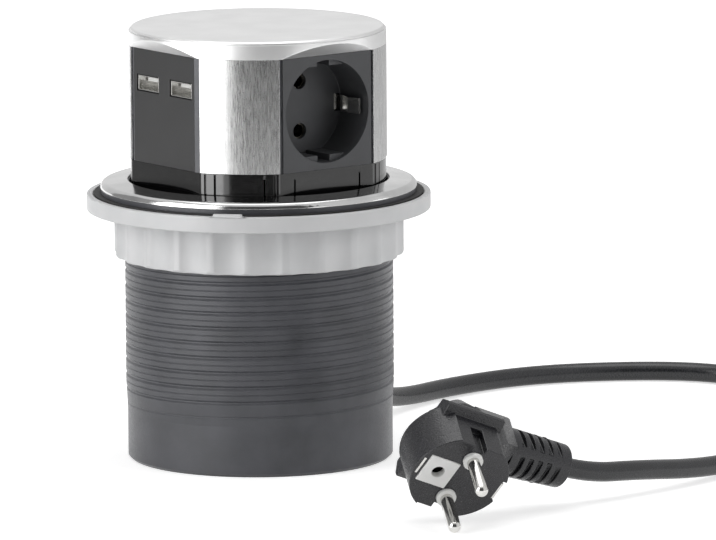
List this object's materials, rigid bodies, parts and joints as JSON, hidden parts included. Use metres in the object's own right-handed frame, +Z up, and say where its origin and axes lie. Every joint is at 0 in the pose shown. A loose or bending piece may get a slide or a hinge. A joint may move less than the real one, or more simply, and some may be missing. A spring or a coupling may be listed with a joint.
{
  "type": "pop-up worktop socket tower",
  "caption": "Round pop-up power tower with grounded sockets and a USB face, in a threaded tube with ring nut, cord and angled plug.",
  "frame": {"origin": "on the tube's axis, on the bottom edge of its foot", "axes": "+Z up along the axis the tower slides on; -Y out of the front socket; -X out of the USB face"},
  "size_m": [0.3349, 0.2553, 0.1655],
  "materials": {
    "dark_grey_moulding": "matte moulded, dark grey",
    "light_grey_moulding": "matte moulded, light grey",
    "black_gloss_moulding": "glossy moulded, black",
    "charcoal_moulding": "fine matte moulded, charcoal",
    "brushed_strip_steel": "brushed along the tower",
    "satin_cap_metal": "satin",
    "polished_steel": "polished",
    "spring_bronze": "bright",
    "nickelled_contact": "bright nickel",
    "zinc_screw": "zinc plated",
    "seal_rubber": "matte",
    "cord_jacket": "smooth flexible jacket",
    "plug_moulding": "moulded, stippled grips",
    "white_moulding": "smooth white",
    "board_laminate": "laminate",
    "terminal_moulding": "off-white",
    "component_black": "smooth",
    "nylon_tie": "smooth nylon"
  },
  "bodies": {
    "housing": {"threaded_tube": "dark_grey_moulding", "bottom_cover": "dark_grey_moulding", "cover_screws": "zinc_screw", "trim_ring": "polished_steel", "ring_gasket": "seal_rubber", "guide_blocks": "dark_grey_moulding", "cord_gland": "plug_moulding", "cord_clamp": "dark_grey_moulding", "clamp_screws": "zinc_screw", "inner_lead": "cord_jacket", "cord_out": "cord_jacket", "cord_coil": "cord_jacket", "cord_in": "cord_jacket", "coil_tie": "nylon_tie", "plug_body": "plug_moulding", "plug_neck": "plug_moulding", "plug_pins": "nickelled_contact", "plug_pin_collars": "white_moulding", "plug_earth_plate": "white_moulding", "plug_earth_sleeve": "nickelled_contact", "plug_earth_clips": "nickelled_contact"},
    "tower": {"top_cap": "satin_cap_metal", "cap_disc": "satin_cap_metal", "inner_frame": "dark_grey_moulding", "base_collar": "black_gloss_moulding", "lower_cover": "dark_grey_moulding", "tie_screws": "zinc_screw", "phase_bus": "spring_bronze", "earth_bus": "spring_bronze", "neutral_bus": "spring_bronze", "usb_panel": "charcoal_moulding", "usb_port_left": "nickelled_contact", "usb_port_right": "nickelled_contact", "usb_tongues": "white_moulding", "usb_board": "board_laminate", "board_screws": "zinc_screw", "usb_transformer": "component_black", "usb_capacitors": "component_black", "usb_leads": "component_black", "terminal_block": "terminal_moulding", "terminal_screws": "zinc_screw", "socket_front": "charcoal_moulding", "socket_right": "charcoal_moulding", "socket_back": "charcoal_moulding", "earth_strap_front": "nickelled_contact", "earth_strap_right": "nickelled_contact", "earth_strap_back": "nickelled_contact", "contacts_front": "spring_bronze", "contacts_right": "spring_bronze", "contacts_back": "spring_bronze", "metal_strip_right_back": "brushed_strip_steel", "metal_strip_left_back": "brushed_strip_steel", "metal_strip_left_front": "brushed_strip_steel", "metal_strip_right_front": "brushed_strip_steel"},
    "pressure_ring_body": {"pressure_ring": "light_grey_moulding"},
    "ring_nut_body": {"ring_nut": "light_grey_moulding"}
  },
  "joints": [
    {"name": "tower_slide", "type": "slide", "parent": "housing", "child": "tower", "axis": [0, 0, 1], "range_m": [-0.058, 0], "deforming": ["inner_lead"]},
    {"name": "ring_slide", "type": "slide", "parent": "housing", "child": "pressure_ring_body", "axis": [0, 0, 1], "range_m": [-0.057, 0]},
    {"name": "nut_spin", "type": "hinge", "parent": "pressure_ring_body", "child": "ring_nut_body", "pos_m": [0, 0, 0.088], "axis": [0, 0, 1], "range_deg": [-3600.5, 0]}
  ],
  "couplings": [
    {"joint": "nut_spin", "follows": "ring_slide", "rad_per_m": 1102.3}
  ]
}
